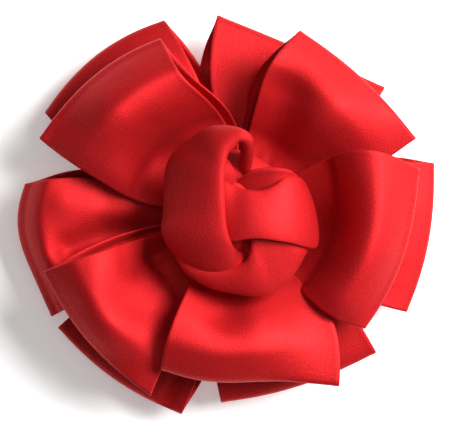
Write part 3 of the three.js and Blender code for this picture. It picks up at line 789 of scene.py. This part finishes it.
def wound(radius, low, high, turns, wander):
    """Thread wound round the flower's axis, each turn straying a little from the last."""
    turn = np.linspace(0, 2 * math.pi * turns, int(turns * TURN_POINTS))
    reach = radius + wander * np.sin(2.3 * turn)
    height = low + (high - low) * (0.5 - 0.5 * np.cos(turn / turns * 0.5))
    height = height + wander * np.sin(3.7 * turn + 1)
    return np.stack([reach * np.cos(turn), reach * np.sin(turn), height], axis=-1)


low, high = (p.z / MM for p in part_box("centre_stitching"))
low, high = low + STITCHING_MARGIN, high - STITCHING_MARGIN
# close turns outside, and a few long ones back inside them
stitching = [strand(wound(1.75, low, high, turns=26, wander=0.12), STITCHING_RADIUS),
             strand(wound(1.25, high, low, turns=9, wander=0.1), STITCHING_RADIUS)]
strands_object("centre_stitching_thread", stitching, THREAD, "centre_stitching", "flower")
for layer_name in ("back", "front"):
    node = f"{layer_name}_gathering_thread"
    low, high = (p.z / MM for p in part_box(node))
    drawn = wound(GATHER_RING, low + GATHER_MARGIN, high - GATHER_MARGIN, turns=4, wander=0.14)
    drawn = strand(drawn, THREAD_RADIUS)
    strands_object(f"{node}_wound", [drawn], THREAD, node, "flower")

# ---- Felt ----

FELT_LOW, FELT_HIGH = (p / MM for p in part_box("felt_base"))
FELT_RADIUS = (FELT_HIGH.x - FELT_LOW.x) / 2
FELT_EDGE_ROUND = 0.45
STRAP_LOW, STRAP_HIGH = (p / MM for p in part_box("felt_strap"))
STRAP_THICKNESS = 1.05
STRAP_EDGE = STRAP_THICKNESS * 0.8
STRAP_INSET = 0.3
STRAP_WIDTH = 7.4
# how far the points of the disc and of the strap stray
FELT_ROUGHNESS = 0.05
STRAP_ROUGHNESS = 0.025
# the strap's middle line from its centre to one end, as (y, z): under the arm, then up to the base
STRAP_PATH = [(0, 8.65), (2.8, 8.65), (5.3, 8.68), (6.3, 9.25), (7.4, 9.7), (10.0, 9.75), (12.9, 9.75)]
# rows of stitches across each end: how far out they are, how many there are in a row, how far they are
# kept from the strap's sides and how high over its lowest point they enter it
STITCH_ROWS = (8.6, 11.8)
STITCHES = 5
STITCH_INSET = 1.2
STITCH_HEIGHT = 1.25
# a stitch's half length across the strap, its half slant along it and how far it stands out of the felt
STITCH_SIZE = (0.55, 0.25, 0.36)


def felt_disc(around=180):
    """The backing: a cut disc of felt, soft at its edge and a little uneven."""
    flat = np.linspace(0.05, FELT_RADIUS - FELT_EDGE_ROUND, 26)
    section = [(r, FELT_LOW.z) for r in flat]
    middle = (FELT_LOW.z + FELT_HIGH.z) / 2
    half = (FELT_HIGH.z - FELT_LOW.z) / 2
    for a in np.radians(np.linspace(-80, 80, 7)):
        section.append((FELT_RADIUS - FELT_EDGE_ROUND * (1 - math.cos(a)), middle + half * math.sin(a)))
    section += [(r, FELT_HIGH.z) for r in flat[::-1]]
    section = np.array(section)
    uneven = np.random.default_rng(5).normal(0, FELT_ROUGHNESS, (around, len(section), 3))
    turn = np.arange(around)[:, None] * 2 * math.pi / around
    cut = 1 - 0.006 * np.abs(np.sin(3 * turn) + 0.5 * np.sin(11 * turn + 2))
    reach = section[None, :, 0] * cut
    height = section[None, :, 1] + 0 * turn
    grid = np.stack([reach * np.cos(turn), reach * np.sin(turn), height], axis=-1)
    grid = grid + uneven * smooth_step(reach, 0.5, 3.0)[..., None]
    count = len(section)
    faces = []
    for i in range(around):
        k = (i + 1) % around
        for j in range(count - 1):
            faces.append((i * count + j, i * count + j + 1, k * count + j + 1, k * count + j))
    faces.append(tuple(i * count for i in range(around)))
    faces.append(tuple(i * count + count - 1 for i in reversed(range(around))))
    return grid.reshape(-1, 3), faces


backing = new_object("felt_base_disc", *felt_disc(), FELT)
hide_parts("felt_base")
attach(backing, "flower")

half_path = even_curve(STRAP_PATH, 40)
line = np.concatenate([half_path[:0:-1] * (-1, 1), half_path])
across = np.linspace(STRAP_LOW.x + STRAP_INSET, STRAP_HIGH.x - STRAP_INSET, 13)
strap_grid = np.stack([across[None, :] + 0 * line[:, :1], line[:, :1] + 0 * across[None, :],
                       line[:, 1:] + 0 * across[None, :]], axis=-1)
strap_grid = strap_grid + np.random.default_rng(8).normal(0, STRAP_ROUGHNESS, strap_grid.shape)
strap = ribbon_object("felt_strap_band", strap_grid, FELT, STRAP_THICKNESS, STRAP_EDGE, STRAP_WIDTH)
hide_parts("felt_strap")
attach(strap, "flower")

stitches = []
arc = np.linspace(0, math.pi, 12)
half_length, slant, proud = STITCH_SIZE
for y in STITCH_ROWS:
    for side in (-1, 1):
        for x in np.linspace(STRAP_LOW.x + STITCH_INSET, STRAP_HIGH.x - STITCH_INSET, STITCHES):
            # each stitch comes out of the felt, lies on it and goes back in
            path = np.stack([x + half_length * np.cos(arc), side * (y + slant * np.cos(arc)),
                             STRAP_LOW.z + STITCH_HEIGHT - proud * np.sin(arc) ** 0.5], axis=-1)
            stitches.append(strand(path, THREAD_RADIUS * 0.8))
strands_object("felt_strap_stitches", stitches, THREAD, "felt_strap", "flower")

# ---- Clip ----

# the pin's axis, as (x, z)
HINGE = (9.0, 5.4)
COIL_RADIUS = 1.75
COIL_PITCH = 1.0
WIRE_RADIUS = 0.35
SPRING_LEG = 11.0
# how steeply the legs follow the upper and the lower lever, in degrees
LEG_RISE, LEG_FALL = 9.0, 11.7
COIL_TURNS = 3.5 - (LEG_RISE + LEG_FALL) / 360
EDGE_BEVEL = 0.14


def spring_path():
    """The wire: a leg under the upper lever, the coils round the pin and a leg over the lower lever."""
    turned = np.linspace(0, 2 * math.pi * COIL_TURNS, 110)
    leg = np.linspace(SPRING_LEG, 0.4, 24)
    angle = math.radians(90 + LEG_RISE) + np.concatenate([0 * leg, turned, turned[-1] + 0 * leg])
    out = np.concatenate([-leg, 0 * turned, leg[::-1]])
    at = np.concatenate([0 * leg, turned, turned[-1] + 0 * leg])
    x = HINGE[0] + COIL_RADIUS * np.cos(angle) - out * np.sin(angle)
    z = HINGE[1] + COIL_RADIUS * np.sin(angle) + out * np.cos(angle)
    return np.stack([x, COIL_PITCH * (at / (2 * math.pi) - COIL_TURNS / 2), z], axis=-1)


spring = strands_object("torsion_spring_wire", [strand(spring_path(), WIRE_RADIUS, 14, 0)], SPRING,
                        "torsion_spring", None)
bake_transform(spring)

# the arms and the pin are the frame's own, with broken edges and plating
for name in ("upper_arm", "lower_arm", "hinge_pin"):
    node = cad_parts[name]
    node.data.materials[0] = NICKEL
    bevel = node.modifiers.new("pressed_edges", "BEVEL")
    bevel.width = EDGE_BEVEL * MM
    bevel.segments = 3
    bevel.limit_method = "ANGLE"
    bevel.angle_limit = math.radians(32)

# ---- Floor, lights and camera ----

# in metres; the floor is just under the clip's flat face, so that the two don't coincide
FLOOR_HALF = 2
FLOOR_GAP = 0.0002
# what the lights face
MIDDLE = (0, 0, 0.02)
# straight over the flower, far enough away to see it as the photograph does
CAMERA_PLACE = (-0.0021, -0.00015, 0.775)
CAMERA_LENS = 200

floor_mesh = bpy.data.meshes.new("floor")
corners = [(-FLOOR_HALF, -FLOOR_HALF, 0), (FLOOR_HALF, -FLOOR_HALF, 0), (FLOOR_HALF, FLOOR_HALF, 0),
           (-FLOOR_HALF, FLOOR_HALF, 0)]
floor_mesh.from_pydata(corners, [], [(0, 1, 2, 3)])
floor = bpy.data.objects.new("floor", floor_mesh)
floor.location.z = CAD_BOX[0].z - FLOOR_GAP
floor_material, _ = shader("floor", (0.9, 0.9, 0.9), 0.8, Emission_Color=(1, 1, 1, 1),
                           Emission_Strength=0.3)
floor_mesh.materials.append(floor_material)
bpy.context.scene.collection.objects.link(floor)


def area_light(name, place, size, energy):
    """A square white light that faces the flower."""
    data = bpy.data.lights.new(name, "AREA")
    data.size = size
    data.energy = energy
    light = bpy.data.objects.new(name, data)
    light.location = place
    light.rotation_euler = (Vector(MIDDLE) - Vector(place)).to_track_quat("-Z", "Y").to_euler()
    bpy.context.scene.collection.objects.link(light)


area_light("key", (0.47, 0.21, 0.55), 0.42, 13.5)
area_light("fill", (0, 0.1, 0.8), 0.45, 1.2)
world = bpy.data.worlds.new("studio")
world.use_nodes = True
background = world.node_tree.nodes["Background"]
background.inputs["Color"].default_value = (1, 1, 1, 1)
background.inputs["Strength"].default_value = 0.05
bpy.context.scene.world = world
bpy.context.scene.view_settings.view_transform = "Standard"

camera = bpy.data.objects.new("camera", bpy.data.cameras.new("camera"))
camera.data.lens = CAMERA_LENS
camera.location = CAMERA_PLACE
bpy.context.scene.collection.objects.link(camera)
bpy.context.scene.camera = camera
